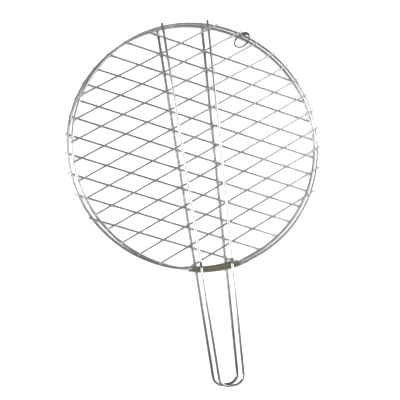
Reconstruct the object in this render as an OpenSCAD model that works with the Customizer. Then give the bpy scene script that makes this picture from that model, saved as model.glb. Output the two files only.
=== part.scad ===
// Round two-sided wire grill basket. Two halves made nearly alike, one turned over on the other,
// are held together at the far edge by one loose wire link and open like a book. The food lies
// between the two meshes. Each half is a rim, a mesh of crossing wires laid at a slant, and a long
// hairpin of wire, which is both its handle and its stiffener.
// Frame: the origin is under the centre of the lower half, on the surface that the closed
// basket lies on. +Z is up, and the handles point along -Y.

/* [Rims] */
// Outside diameter of each rim
rim_outer_d = 350; // [280:5:400]
// Wire diameter of the rims
rim_wire_d = 3.5; // [3:0.25:4.5]
// Length over which the two ends of a rim lie side by side
lap_length = 62; // [40:1:80]
// Centreline radius of the bends by which a rim moves in beside its other end
lap_bend_radius = 70; // [60:5:90]
// Sideways shift of the upper half on the lower one, within the slack of the link
upper_shift = 5.25; // [0:0.25:6]
// Clear gap between a rim's lapped ends, which weld nuggets bridge
lap_gap = 0.05; // [0.05:0.05:0.2]
// Number of weld nuggets along the lap
lap_nuggets = 4; // [2:1:6]
// Width and height of each weld nugget
nugget_d = 2.4; // [2:0.1:3]
// Clear gap between the two closed rims
rim_gap = 0.3; // [0.2:0.1:1]
// How far the upper rim is bent out of round, in radius: over 0 it is longer along its axis
upper_oval = 1; // [-1:0.5:2]
// Direction of that axis, turned from +Y towards -X
upper_oval_angle = 20; // [0:5:25]
// How far the lower rim is bent out of round along Y, in radius: under 0 it is shorter
lower_oval = -1; // [-1:0.5:2]

/* [Mesh] */
// Number of mesh wires in each half
mesh_count = 12; // [8:1:14]
// Wire diameter of the mesh
mesh_wire_d = 2.5; // [2:0.25:2.5]
// Distance between neighbouring mesh wires
mesh_pitch = 25; // [18:0.5:26]
// Angle of the mesh wires to the crosswise direction
mesh_angle = 23.5; // [15:0.5:30]
// Shift of the whole mesh towards the handle
mesh_shift = 1.5; // [-3:0.5:3]
// How far the mesh wires reach past the rim on their long side
mesh_overhang = 2; // [0:0.5:3]

/* [Handles] */
// Wire diameter of the handles
handle_wire_d = 3.5; // [3:0.25:4.5]
// Distance between a handle's two arms at the far side of the rim
arm_gap_far = 65; // [50:1:70]
// Distance between a handle's two arms at the near side of the rim
arm_gap_near = 43; // [40:1:50]
// Distance from the basket's centre to the end of a handle, on the wire's centreline
handle_reach = 330.5; // [300:0.5:380]
// Distance from the basket's centre to the cut ends of the upper arms
upper_arm_reach = 176; // [176:0.5:180]
// Distance from the basket's centre to the cut ends of the lower arms
lower_arm_reach = 174.5; // [174:0.5:178]
// Centreline radius of the two corners at the handle's end
corner_radius = 14; // [10:0.5:16]
// Sideways shift of the upper handle on its own rim
upper_handle_shift = 1.5; // [-2:0.5:2]
// Sideways shift of the lower handle on its own rim
lower_handle_shift = 0.5; // [-2:0.5:2]
// Distance inside the rim circle at which the arms start down onto the rim
set_down_start = 12; // [11:0.5:13]
// Slope of the arms where they step down onto the rim
set_down_angle = 18; // [16:1:20]
// Centreline radius of the bends at that step
set_down_radius = 5; // [4:0.5:6]

/* [Link] */
// Direction of the link from the basket's centre, turned from +Y towards +X
link_angle = 31; // [30:0.5:31.5]
// Wire diameter of the link
link_wire_d = 2; // [1.5:0.25:2]
// Centreline radius of the link
link_radius = 12; // [11.5:0.5:12.5]
// Lean of the link from upright, about the basket's radius
link_lean = 44; // [42:1:46]
// Distance from the lower rim's centreline circle in to the link's centre
link_in = 4; // [3:0.5:4.5]
// Height of the link's centre above the plane between the rims
link_up = 0.5; // [0.25:0.25:0.75]
// Angle over which the two ends of the link lie side by side
link_lap_angle = 80; // [40:5:90]

/* [Fit] */
// Depth that welded wires are pressed into each other
weld_depth = 0.15; // [0.1:0.05:0.3]

/* [Hidden] */
$fn = 32;
BEND_STEPS = 240;
SLEEVE_LENGTH = 0.4;
SLEEVE_EXTRA = 0.06;

rim_r = (rim_outer_d - rim_wire_d) / 2;
lap_offset = (rim_wire_d + lap_gap) / 2;
lap_angle = lap_length / rim_r * 180 / PI;

// Heights of the wires' centrelines over their rim's centreline, on the outer side
mesh_height = (rim_wire_d + mesh_wire_d) / 2 - weld_depth;
arm_height = mesh_height + (mesh_wire_d + handle_wire_d) / 2 - weld_depth;
arm_height_on_rim = (rim_wire_d + handle_wire_d) / 2 - weld_depth;

rim_height = (rim_gap + rim_wire_d) / 2;
middle_z = rim_height + arm_height + handle_wire_d / 2;

arm_taper = atan((arm_gap_far - arm_gap_near) / 4 / rim_r);
set_down = arm_height - arm_height_on_rim;
step_straight = (set_down - 2 * set_down_radius * (1 - cos(set_down_angle))) / sin(set_down_angle);
step_run = 2 * set_down_radius * sin(set_down_angle) + step_straight * cos(set_down_angle);
step_y = rim_r - set_down_start;
corner_top_y = -handle_reach + corner_radius * (1 - sin(arm_taper));
corner_half_width = arm_gap_near / 2 + (corner_top_y + rim_r) * tan(arm_taper);
end_flat = corner_half_width - corner_radius * cos(arm_taper);

// An out-of-round rim is four arcs: two across the ends of its axis and two at its sides. Their
// centres lie this many times the oval away from the rim's centre.
OVAL_CENTRES = 2 / (2 - sqrt(2));

// Two bends, [radius, angle], that take a wire from a circle of radius r to the one inside it. The
// first turns left and the second, with a negative radius, turns right.
function step_in(r) =
    let (
        inner = r - lap_offset,
        rise = 2 * (r * inner + lap_bend_radius * (lap_offset - lap_bend_radius)),
        turn = acos(1 - lap_offset * (4 * lap_bend_radius - lap_offset) / rise),
        reach = inner + lap_bend_radius,
        left = atan2(reach * sin(turn), reach * cos(turn) - r + lap_bend_radius)
    )
    [[lap_bend_radius, left], [-lap_bend_radius, left - turn]];

// Angle that such a step takes along the rim
function step_turn(step) = step[0][1] - step[1][1];

// Distance from a rim's centre to its outer edge, in the direction azimuth from +X
function rim_edge(azimuth, oval, axis) =
    rim_outer_d / 2 + oval * cos(2 * (azimuth - 90 - axis));

function two_digits(i) = str(i < 10 ? "0" : "", i);
function mesh_name(half, i) = str(half, "_cross_wire_", two_digits(i));
function mesh_names(half) = [for (i = [1:mesh_count]) mesh_name(half, i)];

// The front half lies on top as drawn. The back half is turned over about Y, with its rim's lap made
// the other way round, so that both laps lie the same way in the closed basket.
module place_front() {
    translate([upper_shift, 0, middle_z + rim_height]) children();
}

module place_back() {
    translate([0, 0, middle_z - rim_height]) rotate([0, 180, 0]) children();
}

// Where two stretches of a wire along Y meet end to end, a short sleeve, a hair thicker than the
// wire, makes them one solid.
module joint_sleeve(wire_d) {
    rotate([90, 0, 0]) cylinder(h = SLEEVE_LENGTH, d = wire_d + SLEEVE_EXTRA, center = true);
}

module bend(radius, angle, wire_d) {
    rotate_extrude(angle = angle, $fn = BEND_STEPS) translate([radius, 0]) rotate(90) circle(d = wire_d);
}

// Wire that follows arcs of one plane end to end. Each arc is [radius, angle] and turns to the
// left, or to the right where its radius is negative. The wire starts at [radius, 0], along +Y.
module arc_wire(arcs, wire_d, i = 0) {
    radius = arcs[i][0];
    angle = arcs[i][1];
    left = radius > 0;
    rotate([0, 0, left ? 0 : 180 - angle]) bend(abs(radius), angle, wire_d);
    if (i + 1 < len(arcs)) rotate([0, 0, left ? angle : -angle]) {
        translate([radius, 0, 0]) joint_sleeve(wire_d);
        translate([radius - arcs[i + 1][0], 0, 0]) arc_wire(arcs, wire_d, i + 1);
    }
}

// Wire that starts along +Y. Each step is [straight length, bend radius, bend angle, roll]: a roll
// of 0 bends to the left, 90 bends up and -90 bends down. The last step has only its length.
module bent_wire(steps, wire_d, i = 0) {
    length = steps[i][0];
    radius = steps[i][1];
    angle = steps[i][2];
    roll = steps[i][3];
    joint_sleeve(wire_d);
    rotate([-90, 0, 0]) cylinder(h = length, d = wire_d);
    if (i + 1 < len(steps)) translate([0, length, 0]) rotate([0, roll, 0]) {
        joint_sleeve(wire_d);
        translate([-radius, 0, 0]) {
            bend(radius, angle, wire_d);
            rotate([0, 0, angle]) translate([radius, 0, 0]) rotate([0, -roll, 0])
                bent_wire(steps, wire_d, i + 1);
        }
    }
}

// One rim: a wire hoop whose ends pass each other under the handle, the right-hand one outside
module rim_ring(oval, axis = 0) {
    end_r = rim_r + oval * (1 - OVAL_CENTRES);
    side_r = rim_r - oval * (1 - OVAL_CENTRES);
    out_step = step_in(end_r + lap_offset);
    in_step = step_in(end_r);
    quarter = 45 - lap_angle / 2;
    arcs = concat(
        [[end_r + lap_offset, lap_angle]],
        out_step,
        [
            [end_r, quarter + axis - step_turn(out_step)],
            [side_r, 90],
            [end_r, 90],
            [side_r, 90],
            [end_r, quarter - axis - step_turn(in_step)]
        ],
        in_step,
        [[end_r - lap_offset, lap_angle]]
    );
    rotate([0, 0, axis]) translate([0, -oval * OVAL_CENTRES, 0]) rotate([0, 0, -90 - axis]) {
        color("silver") rotate([0, 0, -lap_angle / 2]) arc_wire(arcs, rim_wire_d);
        color("dimgray") for (i = [0:lap_nuggets - 1])
            rotate([0, 0, lap_angle * ((i + 0.5) / lap_nuggets - 0.5)]) translate([end_r, 0, 0])
                cylinder(h = nugget_d, d = nugget_d, center = true);
    }
}

// One straight wire of the mesh, number 1 at the far edge. Its left end is cut flush with the rim.
module cross_wire(i, oval, axis = 0) {
    offset_y = (i - (mesh_count + 1) / 2) * mesh_pitch + mesh_shift;
    end_azimuth = asin(offset_y / rim_outer_d * 2);
    left_edge = rim_edge(180 + end_azimuth + mesh_angle, oval, axis);
    right_edge = rim_edge(mesh_angle - end_azimuth, oval, axis) + mesh_overhang;
    left_end = sqrt(pow(left_edge, 2) - pow(offset_y, 2));
    right_end = sqrt(pow(right_edge, 2) - pow(offset_y, 2));
    color("gainsboro") rotate([0, 0, mesh_angle]) translate([-left_end, -offset_y, mesh_height])
        rotate([0, 90, 0]) cylinder(h = left_end + right_end, d = mesh_wire_d);
}

// Half of a handle, from the middle of its end to the cut end of the right arm
module handle_side(arm_reach) {
    along = 1 / cos(arm_taper);
    steps = [
        [end_flat, corner_radius, 90 - arm_taper, 0],
        [(-step_y - step_run - corner_top_y) * along, set_down_radius, set_down_angle, 90],
        [step_straight, set_down_radius, set_down_angle, -90],
        [2 * step_y * along, set_down_radius, set_down_angle, -90],
        [step_straight, set_down_radius, set_down_angle, 90],
        [(arm_reach - step_y - step_run) * along]
    ];
    translate([0, -handle_reach, arm_height_on_rim]) rotate([0, 0, -90]) bent_wire(steps, handle_wire_d);
}

// One handle: a long hairpin of wire whose arms run across the whole half
module handle_wire(shift, arm_reach) {
    color("lightgray") translate([shift, 0, 0]) {
        handle_side(arm_reach);
        mirror([1, 0, 0]) handle_side(arm_reach);
    }
}

// The link: one turn of wire around both rims, its ends side by side on the outside
module link_ring() {
    lap_side = link_wire_d - weld_depth;
    color("darkgray") rotate([0, 0, -link_angle]) translate([0, rim_r - link_in, middle_z + link_up])
        rotate([0, link_lean, 0]) rotate([0, 90, 0]) {
            arc_wire([[link_radius, 360]], link_wire_d);
            translate([0, 0, lap_side]) rotate([0, 0, 90 - link_lap_angle / 2])
                arc_wire([[link_radius, link_lap_angle]], link_wire_d);
        }
}

place_back() mirror([1, 0, 0]) rim_ring(lower_oval);  // back_rim_ring
place_front() rim_ring(upper_oval, upper_oval_angle);  // front_rim_ring
place_back() handle_wire(-lower_handle_shift, lower_arm_reach);  // back_handle
place_front() handle_wire(upper_handle_shift, upper_arm_reach);  // front_handle
link_ring();
for (i = [1:mesh_count]) {
    place_back() cross_wire(i, lower_oval);
    place_front() cross_wire(i, upper_oval, upper_oval_angle);
}
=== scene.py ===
import math

import bmesh
import bpy
from mathutils import Matrix, Vector, noise


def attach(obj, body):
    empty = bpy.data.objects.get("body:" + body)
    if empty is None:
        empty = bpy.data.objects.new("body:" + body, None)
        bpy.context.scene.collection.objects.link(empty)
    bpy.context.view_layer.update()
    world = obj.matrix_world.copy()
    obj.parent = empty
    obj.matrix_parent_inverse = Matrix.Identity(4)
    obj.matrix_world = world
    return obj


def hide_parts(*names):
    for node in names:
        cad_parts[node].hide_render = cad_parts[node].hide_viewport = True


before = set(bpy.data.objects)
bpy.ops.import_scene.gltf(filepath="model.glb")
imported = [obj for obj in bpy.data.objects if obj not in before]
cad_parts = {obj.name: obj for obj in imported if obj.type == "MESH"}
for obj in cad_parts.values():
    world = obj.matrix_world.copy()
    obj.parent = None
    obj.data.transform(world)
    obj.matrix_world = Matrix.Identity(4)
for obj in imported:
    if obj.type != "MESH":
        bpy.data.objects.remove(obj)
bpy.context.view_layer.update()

# Lengths are in millimetres up to the last step, where they become metres.
MM = 0.001

# The basket, as in the CAD model
RIM_R = 173.25
RIM_WIRE = 3.5
RIM_GAP = 0.3
UPPER_SHIFT = 5.25
MESH_WIRE = 2.5
HANDLE_WIRE = 3.5
LINK_WIRE = 2.0
MESH_COUNT = 12
MESH_PITCH = 25.0
MESH_SHIFT = 1.5
MESH_ANGLE = math.radians(23.5)
MESH_OVERHANG = 2.0
WELD_DEPTH = 0.15
LAP_LENGTH = 62.0
LAP_GAP = 0.05
LAP_BEND = 70.0
LAP_OFFSET = (RIM_WIRE + LAP_GAP) / 2
LAP_ANGLE = LAP_LENGTH / RIM_R
ARM_GAP_FAR = 65.0
ARM_GAP_NEAR = 43.0
HANDLE_REACH = 330.5
CORNER_R = 14.0
SET_DOWN_START = 12.0
STEP_Y = RIM_R - SET_DOWN_START
STEP_ANGLE = math.radians(18)
STEP_R = 5.0
LINK_ANGLE = math.radians(31)
LINK_LEAN = math.radians(44)
LINK_R = 12.0
LINK_IN = 4.0
LINK_UP = 0.5
LINK_LAP = math.radians(80)

MESH_HEIGHT = (RIM_WIRE + MESH_WIRE) / 2 - WELD_DEPTH
ARM_HEIGHT = MESH_HEIGHT + (MESH_WIRE + HANDLE_WIRE) / 2 - WELD_DEPTH
ARM_ON_RIM = (RIM_WIRE + HANDLE_WIRE) / 2 - WELD_DEPTH
RIM_HEIGHT = (RIM_GAP + RIM_WIRE) / 2
MIDDLE_Z = RIM_HEIGHT + ARM_HEIGHT + HANDLE_WIRE / 2
ARM_TAPER = math.atan((ARM_GAP_FAR - ARM_GAP_NEAR) / 4 / RIM_R)

# Each half is much the same part. The back one is turned over about Y.
HALVES = {
    "front": Matrix.Translation((UPPER_SHIFT, 0, MIDDLE_Z + RIM_HEIGHT)),
    "back": Matrix.Translation((0, 0, MIDDLE_Z - RIM_HEIGHT)) @ Matrix.Rotation(math.pi, 4, "Y"),
}
HANDLE_SHIFT = {"front": 1.5, "back": -0.5}
ARM_REACH = {"front": 176.0, "back": 174.5}

# Each rim is bent out of round: its radius is OVAL longer along an axis that is turned OVAL_AXIS from
# +Y towards -X. It is four arcs, whose centres lie OVAL_CENTRES times the oval from the rim's own.
OVAL = {"front": 1.0, "back": -1.0}
OVAL_AXIS = {"front": math.radians(20), "back": 0.0}
OVAL_CENTRES = 2 / (2 - math.sqrt(2))

# How finely the wires are modelled: the greatest turn between two rings of a path, the distance
# between rings along a path, and the number of corners round a wire
MAX_TURN = math.radians(4)
RIM_SPACING = 3
HANDLE_SPACING = 6
CROSS_RINGS = 120
LINK_RINGS = 132
FRAME_SIDES = 20
MESH_SIDES = 14
LINK_SIDES = 16
# How far a cut end is rounded, as a share of the wire's radius
END_ROUNDING = 0.16

# The link's two ends lie side by side, and its end moves over to there within MOVE_OVER of its turn.
LINK_SIDE = LINK_WIRE - WELD_DEPTH
MOVE_OVER = math.radians(35)
LINK_PLACE = (
    Matrix.Rotation(-LINK_ANGLE, 4, "Z")
    @ Matrix.Translation((0, RIM_R - LINK_IN, MIDDLE_Z + LINK_UP))
    @ Matrix.Rotation(LINK_LEAN, 4, "Y")
    @ Matrix.Rotation(math.pi / 2, 4, "Y")
)

# How far the heat tint of a weld reaches, and how strong it is. Over 1, it is full a little past the lap.
RIM_TINT_REACH = 5
RIM_TINT = 0.4
LAP_TINT = 1.1
LAP_TINT_REACH = 8
HANDLE_TINT_REACH = 7
MESH_TINT_REACH = 4.5

# A squeezed-out weld nugget: its half sizes, how deep it sits in its wire, how uneven and how tinted it is
NUGGET_SIZE = (1.5, 1.5, 0.5)
NUGGET_SUNK = 0.1
NUGGET_LUMPS = 0.35
NUGGET_LUMP_SCALE = 1400
NUGGET_TINT = 0.6

# The run of weld along the link's lapped ends: its half sizes over and across the wires, its shift
# outwards, how lumpy and how tinted it is, and how finely it is modelled
RUN_THICK = 2.1
RUN_WIDE = 2.6
RUN_SHIFT = 0.1
RUN_LUMPS = 0.4
RUN_LUMP_SCALE = 0.6
RUN_TINT = 0.5
RUN_RINGS = 48
RUN_SIDES = 24
# Vertices nearer to each other than this, in metres, become one.
SAME_PLACE = 0.00001


# ---- Wire paths ----

def turtle(start, heading, up, steps, spacing):
    """Points of a wire that goes forward by each step's length, yawing to the left and pitching up."""
    point, ahead, over = Vector(start), Vector(heading).normalized(), Vector(up).normalized()
    points = [point.copy()]
    for length, yaw, pitch in steps:
        turn = abs(yaw) + abs(pitch)
        count = max(1, math.ceil(length / spacing), math.ceil(turn / MAX_TURN))
        for _ in range(count):
            axis = over if abs(yaw) > abs(pitch) else ahead.cross(over)
            half = Matrix.Rotation((yaw + pitch) / count / 2, 3, axis)
            chord = length / count
            if turn:
                chord *= math.sin(turn / count / 2) / (turn / count / 2)
            ahead = half @ ahead
            point = point + ahead * chord
            ahead = half @ ahead
            over = half @ half @ over
            points.append(point.copy())
    return points


def step_in(r):
    """The two bends, (radius, angle), left and then right, from a circle of radius r to the one inside it."""
    inner = r - LAP_OFFSET
    rise = 2 * (r * inner + LAP_BEND * (LAP_OFFSET - LAP_BEND))
    turn = math.acos(1 - LAP_OFFSET * (4 * LAP_BEND - LAP_OFFSET) / rise)
    reach = inner + LAP_BEND
    left = math.atan2(reach * math.sin(turn), reach * math.cos(turn) - r + LAP_BEND)
    return [(LAP_BEND, left), (LAP_BEND, turn - left)]


def rim_frame(half):
    """The centre and the radius of the arc that carries the lap."""
    oval = OVAL[half]
    middle = Vector((0, -oval * OVAL_CENTRES, 0))
    middle.rotate(Matrix.Rotation(OVAL_AXIS[half], 3, "Z"))
    return middle, RIM_R + oval * (1 - OVAL_CENTRES)


def rim_path(half):
    """A hoop whose ends pass each other at the handle, the right-hand one outside in the closed basket."""
    middle, end_r = rim_frame(half)
    side_r = 2 * RIM_R - end_r
    out_step, in_step = step_in(end_r + LAP_OFFSET), step_in(end_r)
    quarter = math.pi / 4 - LAP_ANGLE / 2
    arcs = [
        (end_r + LAP_OFFSET, LAP_ANGLE),
        *out_step,
        (end_r, quarter + OVAL_AXIS[half] - sum(angle for _, angle in out_step)),
        (side_r, math.pi / 2),
        (end_r, math.pi / 2),
        (side_r, math.pi / 2),
        (end_r, quarter - OVAL_AXIS[half] - sum(angle for _, angle in in_step)),
        *in_step,
        (end_r - LAP_OFFSET, LAP_ANGLE),
    ]
    begin = -math.pi / 2 - LAP_ANGLE / 2
    start = middle + (end_r + LAP_OFFSET) * Vector((math.cos(begin), math.sin(begin), 0))
    heading = (-math.sin(begin), math.cos(begin), 0)
    steps = [(abs(radius * angle), angle, 0) for radius, angle in arcs]
    points = turtle(start, heading, (0, 0, 1), steps, RIM_SPACING)
    if half == "back":
        return [Vector((-p.x, p.y, p.z)) for p in points]
    return points


def rim_edge(azimuth, half):
    """Distance from a rim's centre to its centreline in the direction azimuth from +X."""
    return RIM_R + OVAL[half] * math.cos(2 * (azimuth - math.pi / 2 - OVAL_AXIS[half]))


def handle_path(shift, arm_reach):
    """A long hairpin: down one arm, round the end and up the other."""
    set_down = ARM_HEIGHT - ARM_ON_RIM
    straight = (set_down - 2 * STEP_R * (1 - math.cos(STEP_ANGLE))) / math.sin(STEP_ANGLE)
    run = 2 * STEP_R * math.sin(STEP_ANGLE) + straight * math.cos(STEP_ANGLE)
    corner_y = -HANDLE_REACH + CORNER_R * (1 - math.sin(ARM_TAPER))
    corner_x = arm_x(corner_y)
    along = 1 / math.cos(ARM_TAPER)
    bend = STEP_R * STEP_ANGLE
    side = [
        (corner_x - CORNER_R * math.cos(ARM_TAPER), 0, 0),
        (CORNER_R * (math.pi / 2 - ARM_TAPER), math.pi / 2 - ARM_TAPER, 0),
        ((-STEP_Y - run - corner_y) * along, 0, 0),
        (bend, 0, STEP_ANGLE),
        (straight, 0, 0),
        (bend, 0, -STEP_ANGLE),
        (2 * STEP_Y * along, 0, 0),
        (bend, 0, -STEP_ANGLE),
        (straight, 0, 0),
        (bend, 0, STEP_ANGLE),
        ((arm_reach - STEP_Y - run) * along, 0, 0),
    ]
    right = turtle((0, -HANDLE_REACH, ARM_ON_RIM), (1, 0, 0), (0, 0, 1), side, HANDLE_SPACING)
    left = [Vector((-p.x, p.y, p.z)) for p in right]
    return [p + Vector((shift, 0, 0)) for p in left[:0:-1] + right]


def arm_x(y):
    """Half the distance between a handle's arms, at y."""
    return ARM_GAP_NEAR / 2 + (y + RIM_R) * math.tan(ARM_TAPER)


def cross_line(i, half):
    """The two ends of mesh wire i, number 1 at the far edge, and the two points where it meets the rim."""
    offset = (i - (MESH_COUNT + 1) / 2) * MESH_PITCH + MESH_SHIFT
    tilt = math.asin(offset / (RIM_R + RIM_WIRE / 2))
    left = rim_edge(math.pi + tilt + MESH_ANGLE, half)
    right = rim_edge(MESH_ANGLE - tilt, half)
    reaches = [
        -math.sqrt((left + RIM_WIRE / 2) ** 2 - offset ** 2),
        math.sqrt((right + RIM_WIRE / 2 + MESH_OVERHANG) ** 2 - offset ** 2),
        -math.sqrt(left ** 2 - offset ** 2),
        math.sqrt(right ** 2 - offset ** 2),
    ]
    turn = Matrix.Rotation(MESH_ANGLE, 3, "Z")
    return [turn @ Vector((reach, -offset, MESH_HEIGHT)) for reach in reaches]


def cross_welds(i, half):
    """Where mesh wire i is welded: to the rim (-1, on its inner side) and to the two arms (1)."""
    a, b, left, right = cross_line(i, half)
    ahead = (b - a).normalized()
    places = [(left, -1), (right, -1)]
    for side in (-1, 1):
        slope = side * math.tan(ARM_TAPER)
        start = HANDLE_SHIFT[half] + side * arm_x(0)
        t = (start + slope * a.y - a.x) / (ahead.x - slope * ahead.y)
        places.append((a + ahead * t, 1))
    return places


def all_welds(half, on):
    """The places in the basket where a half's mesh is welded to its rim (-1) or its handle (1)."""
    numbers = range(1, MESH_COUNT + 1)
    return [HALVES[half] @ p for i in numbers for p, side in cross_welds(i, half) if side == on]


def link_path():
    """One flat turn of wire round both rims. Its end moves over to lie beside its start, on the outside."""
    sweep = 2 * math.pi + LINK_LAP
    points = []
    for k in range(LINK_RINGS + 1):
        turned = sweep * k / LINK_RINGS
        angle = math.pi / 2 - LINK_LAP / 2 + turned
        over = min(1.0, max(0.0, 1 + (turned - 2 * math.pi) / MOVE_OVER))
        side = LINK_SIDE * over * over * (3 - 2 * over)
        points.append(Vector((LINK_R * math.cos(angle), LINK_R * math.sin(angle), side)))
    return [LINK_PLACE @ p for p in points]


# ---- Meshes ----

def new_wire_mesh():
    """A mesh under construction, and its layers: a position in the straightened wire, for the drawing
    marks, and how hot each place got."""
    bm = bmesh.new()
    return bm, bm.verts.layers.float_vector.new("wire_space"), bm.verts.layers.float.new("scorch")


def add_object(name, bm):
    mesh = bpy.data.meshes.new(name)
    bm.to_mesh(mesh)
    bm.free()
    ob = bpy.data.objects.new(name, mesh)
    bpy.context.scene.collection.objects.link(ob)
    return ob


def bridge(bm, rings):
    for a, b in zip(rings, rings[1:]):
        for j in range(len(a)):
            face = bm.faces.new((a[j], a[j - len(a) + 1], b[j - len(a) + 1], b[j]))
            face.smooth = True


def tube(name, points, diameter, sides, hot=None):
    """A wire along points, with its cut ends slightly rounded. hot gives the heat at a point."""
    bm, straight, scorch = new_wire_mesh()
    radius = diameter / 2
    last = len(points) - 1
    tangents = []
    for k in range(len(points)):
        tangents.append((points[min(k + 1, last)] - points[max(k - 1, 0)]).normalized())
    normal = tangents[0].orthogonal().normalized()
    rings, along = [], 0.0
    chamfer = END_ROUNDING * radius
    for k, (point, tangent) in enumerate(zip(points, tangents)):
        if k:
            along += (point - points[k - 1]).length
            normal = tangents[k - 1].rotation_difference(tangent) @ normal
        side = tangent.cross(normal)
        places = [(0.0, radius)]
        if k == 0:
            places = [(0.0, radius - chamfer), (chamfer, radius)]
        if k == last:
            places = [(-chamfer, radius), (0.0, radius - chamfer)]
        for shift, r in places:
            ring = []
            for j in range(sides):
                turn = 2 * math.pi * j / sides
                out = normal * math.cos(turn) + side * math.sin(turn)
                v = bm.verts.new((point + tangent * shift + out * r) * MM)
                v[straight] = Vector((along + shift, r * math.cos(turn), r * math.sin(turn))) * MM
                v[scorch] = hot(point) if hot else 0.0
                ring.append(v)
            rings.append(ring)
    bridge(bm, rings)
    for ring in (rings[0][::-1], rings[-1]):
        bm.faces.new(ring)
    bmesh.ops.recalc_face_normals(bm, faces=bm.faces)
    return add_object(name, bm)


def near(places, reach):
    """Heat that falls off with the distance to the nearest of the places."""
    def heat(point):
        gap = min((point - p).length for p in places)
        return max(0.0, 1 - gap / reach) ** 2
    return heat


# ---- Materials ----

# Noise scales of the drawing marks (along the wire and across it), the cloudy plating and the tint's
# uneven edge, and how much that edge wanders
DRAW_SCALE = (60, 4000, 4000)
CLOUD_SCALE = 90.0
TINT_EDGE_SCALE = 700.0
TINT_EDGE_SHARE = 0.5
# Places on the noise between which dull plating turns bright, and on the heat between which the tint sets in
CLOUD_EDGES = (0.35, 0.65)
TINT_EDGES = (0.25, 0.75)
# How much smoother and rougher than its own roughness a wire gets, and how high its drawing marks stand
SMOOTHER = 0.06
ROUGHER = 0.12
MARK_STRENGTH = 0.25
MARK_HEIGHT = 0.0001
# How metallic the surface still is where it is fully tinted
TINTED_METALLIC = 0.45

BLACK = (0, 0, 0)
WHITE = (1, 1, 1)
OLIVE = (0.12, 0.113, 0.09)
SOOT = (0.3, 0.29, 0.26)
GREENISH = (0.13, 0.155, 0.135)


def new_material(name):
    material = bpy.data.materials.new(name)
    material.use_nodes = True
    tree = material.node_tree
    return material, tree, tree.nodes["Principled BSDF"]


def add(tree, kind, **values):
    node = tree.nodes.new(kind)
    for key, value in values.items():
        if key in node.inputs:
            node.inputs[key].default_value = value
        else:
            setattr(node, key, value)
    return node


def ramp(tree, source, places, colours):
    node = tree.nodes.new("ShaderNodeValToRGB")
    for element, place, colour in zip(node.color_ramp.elements, places, colours):
        element.position = place
        element.color = (*colour, 1)
    tree.links.new(source, node.inputs["Fac"])
    return node.outputs["Color"]


def noise_on(tree, source, scale, detail):
    node = add(tree, "ShaderNodeTexNoise", Scale=scale, Detail=detail)
    tree.links.new(source, node.inputs["Vector"])
    return node.outputs["Fac"]


def spread_out(tree, source, low, high):
    node = add(tree, "ShaderNodeMapRange")
    node.inputs["To Min"].default_value = low
    node.inputs["To Max"].default_value = high
    tree.links.new(source, node.inputs["Value"])
    return node.outputs["Result"]


def plated_wire(name, bright, dull, roughness, tint):
    """Bright plated wire: fine lengthwise drawing marks, cloudy plating and a heat tint at welds."""
    material, tree, shader = new_material(name)
    links = tree.links
    space = add(tree, "ShaderNodeAttribute", attribute_name="wire_space")
    stretch = add(tree, "ShaderNodeMapping", Scale=DRAW_SCALE)
    links.new(space.outputs["Vector"], stretch.inputs["Vector"])
    draw = noise_on(tree, stretch.outputs["Vector"], 1.0, 3.0)
    place = add(tree, "ShaderNodeTexCoord").outputs["Object"]
    cloud = noise_on(tree, place, CLOUD_SCALE, 4.0)
    body = ramp(tree, cloud, CLOUD_EDGES, (dull, bright))

    scorch = add(tree, "ShaderNodeAttribute", attribute_name="scorch")
    uneven = add(tree, "ShaderNodeMath", operation="MULTIPLY_ADD")
    links.new(noise_on(tree, place, TINT_EDGE_SCALE, 3.0), uneven.inputs[0])
    uneven.inputs[1].default_value = TINT_EDGE_SHARE
    uneven.inputs[2].default_value = -TINT_EDGE_SHARE / 2
    heat = add(tree, "ShaderNodeMath", operation="ADD", use_clamp=True)
    links.new(uneven.outputs["Value"], heat.inputs[0])
    links.new(scorch.outputs["Fac"], heat.inputs[1])
    tinted = ramp(tree, heat.outputs["Value"], TINT_EDGES, (BLACK, WHITE))

    mix = add(tree, "ShaderNodeMix", data_type="RGBA")
    links.new(tinted, mix.inputs["Factor"])
    links.new(body, mix.inputs["A"])
    mix.inputs["B"].default_value = (*tint, 1)
    links.new(mix.outputs["Result"], shader.inputs["Base Color"])
    links.new(spread_out(tree, draw, roughness - SMOOTHER, roughness + ROUGHER), shader.inputs["Roughness"])
    links.new(spread_out(tree, tinted, 1.0, TINTED_METALLIC), shader.inputs["Metallic"])
    bump = add(tree, "ShaderNodeBump", Strength=MARK_STRENGTH, Distance=MARK_HEIGHT)
    links.new(draw, bump.inputs["Height"])
    links.new(bump.outputs["Normal"], shader.inputs["Normal"])
    return material


# Each steel has its bright and dull colours, its roughness and the tint of its welds.
rim_steel = plated_wire("rim_steel", (0.88, 0.885, 0.88), (0.76, 0.765, 0.76), 0.24, OLIVE)
mesh_steel = plated_wire("mesh_steel", (0.85, 0.85, 0.84), (0.72, 0.72, 0.71), 0.28, SOOT)
link_steel = plated_wire("link_steel", (0.22, 0.25, 0.225), (0.12, 0.14, 0.125), 0.32, GREENISH)
weld_steel = plated_wire("weld_steel", (0.42, 0.41, 0.39), (0.28, 0.27, 0.25), 0.42, SOOT)
# The back hairpin is the same steel as the front one. Its darker colours are painted shade, standing in for
# the shade it lies in under the mesh.
HANDLE_STEEL_WITH_PAINTED_SHADE = {
    "front": plated_wire("front_handle_steel", (0.8, 0.805, 0.8), (0.68, 0.685, 0.68), 0.16, SOOT),
    "back": plated_wire("back_handle_painted_shade", (0.52, 0.525, 0.52), (0.4, 0.405, 0.4), 0.22, SOOT),
}


# ---- Pieces ----

def finish_piece(piece, material, body, node):
    piece.data.materials.append(material)
    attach(piece, body)
    if node:
        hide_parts(node)


def placed(points, half):
    return [HALVES[half] @ p for p in points]


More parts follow.
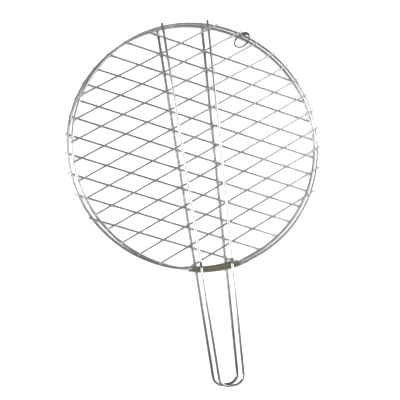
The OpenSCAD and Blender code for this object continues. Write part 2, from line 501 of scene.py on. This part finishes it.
def make_rim(half):
    centre, lap_r = rim_frame(half)
    lap_middle = HALVES[half] @ (centre + Vector((0, -lap_r, 0)))
    near_weld = near(all_welds(half, -1), RIM_TINT_REACH)

    def hot(point):
        past_lap = max(0.0, (point - lap_middle).length - LAP_LENGTH / 2)
        over_lap = max(0.0, LAP_TINT - past_lap / LAP_TINT_REACH)
        return max(min(1.0, over_lap), near_weld(point) * RIM_TINT)

    rim = tube(half + "_rim", placed(rim_path(half), half), RIM_WIRE, FRAME_SIDES, hot)
    finish_piece(rim, rim_steel, half + "_half", half + "_rim_ring")


def make_handle(half):
    points = placed(handle_path(HANDLE_SHIFT[half], ARM_REACH[half]), half)
    hot = near(all_welds(half, 1), HANDLE_TINT_REACH)
    handle = tube(half + "_hairpin", points, HANDLE_WIRE, FRAME_SIDES, hot)
    finish_piece(handle, HANDLE_STEEL_WITH_PAINTED_SHADE[half], half + "_half", half + "_handle")


def make_cross_wire(half, i):
    a, b = cross_line(i, half)[:2]
    points = placed([a.lerp(b, k / CROSS_RINGS) for k in range(CROSS_RINGS + 1)], half)
    hot = near(placed([p for p, _ in cross_welds(i, half)], half), MESH_TINT_REACH)
    wire = tube(f"{half}_mesh_{i:02d}", points, MESH_WIRE, MESH_SIDES, hot)
    finish_piece(wire, mesh_steel, half + "_half", f"{half}_cross_wire_{i:02d}")


def make_welds(half):
    """Small squeezed-out nuggets where the mesh wires are welded to the rim and to the arms."""
    bm, _, scorch = new_wire_mesh()
    size = Matrix.Diagonal((*(s * MM for s in NUGGET_SIZE), 1))
    for i in range(1, MESH_COUNT + 1):
        for place, side in cross_welds(i, half):
            up = Vector((0, 0, side * (MESH_WIRE / 2 - NUGGET_SUNK)))
            centre = HALVES[half] @ (place + up) * MM
            shape = Matrix.Translation(centre) @ size
            made = bmesh.ops.create_icosphere(bm, subdivisions=3, radius=1, matrix=shape)
            for v in made["verts"]:
                v[scorch] = NUGGET_TINT
                v.co += (v.co - centre) * NUGGET_LUMPS * noise.noise(v.co * NUGGET_LUMP_SCALE)
    for face in bm.faces:
        face.smooth = True
    finish_piece(add_object(half + "_welds", bm), weld_steel, half + "_half", None)


def make_link_weld():
    """The lumpy run of weld that closes the link, along its lapped ends."""
    bm, _, scorch = new_wire_mesh()
    rings = []
    for k in range(RUN_RINGS + 1):
        share = 2 * k / RUN_RINGS - 1
        angle = math.pi / 2 + share * LINK_LAP / 2
        full = math.sqrt(max(0.0, 1 - share ** 4))
        outward = Vector((math.cos(angle), math.sin(angle), 0))
        ring = []
        for j in range(RUN_SIDES):
            turn = 2 * math.pi * j / RUN_SIDES
            away = outward * math.cos(turn) + Vector((0, 0, math.sin(turn)))
            v = outward * (LINK_R + RUN_SHIFT + RUN_THICK * full * math.cos(turn))
            v.z = LINK_SIDE / 2 + RUN_WIDE * full * math.sin(turn)
            v += away * RUN_LUMPS * full * noise.noise(v * RUN_LUMP_SCALE)
            vert = bm.verts.new((LINK_PLACE @ v) * MM)
            vert[scorch] = RUN_TINT
            ring.append(vert)
        rings.append(ring)
    bridge(bm, rings)
    bmesh.ops.remove_doubles(bm, verts=bm.verts, dist=SAME_PLACE)
    bmesh.ops.recalc_face_normals(bm, faces=bm.faces)
    finish_piece(add_object("link_weld", bm), link_steel, "link_ring", None)


for half in HALVES:
    make_rim(half)
    make_handle(half)
    for i in range(1, MESH_COUNT + 1):
        make_cross_wire(half, i)
    make_welds(half)
link = tube("link_wire", link_path(), LINK_WIRE, LINK_SIDES)
finish_piece(link, link_steel, "link_ring", "link_ring")
make_link_weld()


# ---- Camera, floor and light ----

# The lens and its sensor in millimetres, the camera's place in metres and its turn in degrees
LENS = 46.8
SENSOR = 36
CAMERA_PLACE = (-0.12105, -0.13357, 0.71622)
CAMERA_TURN = (5.6464, -8.7628, -7.4812)

# Half the floor's side and how far it lies under the basket, in metres
FLOOR_HALF = 6
FLOOR_DROP = 0.0005
FLOOR_WHITE = (0.93, 0.93, 0.93, 1)
FLOOR_ROUGHNESS = 0.9

SKY_COLOUR = (0.95, 0.97, 1.0, 1)
SKY_STRENGTH = 0.2
PANEL_SIZE = (1.1, 1.2)


def make_camera():
    data = bpy.data.cameras.new("camera")
    data.lens = LENS
    data.sensor_width = SENSOR
    camera = bpy.data.objects.new("camera", data)
    camera.location = CAMERA_PLACE
    camera.rotation_euler = [math.radians(a) for a in CAMERA_TURN]
    bpy.context.scene.collection.objects.link(camera)
    bpy.context.scene.camera = camera


def make_floor():
    """A pale floor just under the basket, which the shiny wires don't mirror."""
    bm = bmesh.new()
    bmesh.ops.create_grid(bm, x_segments=1, y_segments=1, size=FLOOR_HALF)
    floor = add_object("floor", bm)
    floor.location = (0, 0, -FLOOR_DROP)
    material, _, shader = new_material("floor_white")
    shader.inputs["Base Color"].default_value = FLOOR_WHITE
    shader.inputs["Roughness"].default_value = FLOOR_ROUGHNESS
    floor.data.materials.append(material)
    floor.visible_glossy = False


def area(name, place, target, size, power, seen=True):
    """A rectangular light. seen says whether the wires mirror it."""
    data = bpy.data.lights.new(name, "AREA")
    data.shape = "RECTANGLE"
    data.size, data.size_y = size
    data.energy = power
    light = bpy.data.objects.new(name, data)
    light.location = place
    light.rotation_euler = (Vector(target) - Vector(place)).to_track_quat("-Z", "Y").to_euler()
    light.visible_glossy = seen
    light.visible_camera = False
    bpy.context.scene.collection.objects.link(light)


def make_world():
    world = bpy.data.worlds.new("studio")
    world.use_nodes = True
    bpy.context.scene.world = world
    background = world.node_tree.nodes["Background"]
    background.inputs["Color"].default_value = SKY_COLOUR
    background.inputs["Strength"].default_value = SKY_STRENGTH


make_camera()
make_floor()
make_world()
# Each light has its place, the place it is turned to and its size, in metres, and its power in watts.
area("floor_light", (0, 0, 3), (0, 0, 0), (4, 4), 260, seen=False)
area("softbox", (0.7, 0.05, 0.9), (0.1, 0.0, 0), (0.9, 0.6), 3.5)
area("right_panel", (2.0, 0.1, 0.6), (0, 0, 0), PANEL_SIZE, 14)
area("left_panel", (-2.0, 0.1, 0.6), (0, 0, 0), PANEL_SIZE, 22)
area("front_panel", (0.4, -2.0, 0.6), (0, 0, 0), (1.0, 1.2), 5)
bpy.context.scene.view_settings.view_transform = "Standard"
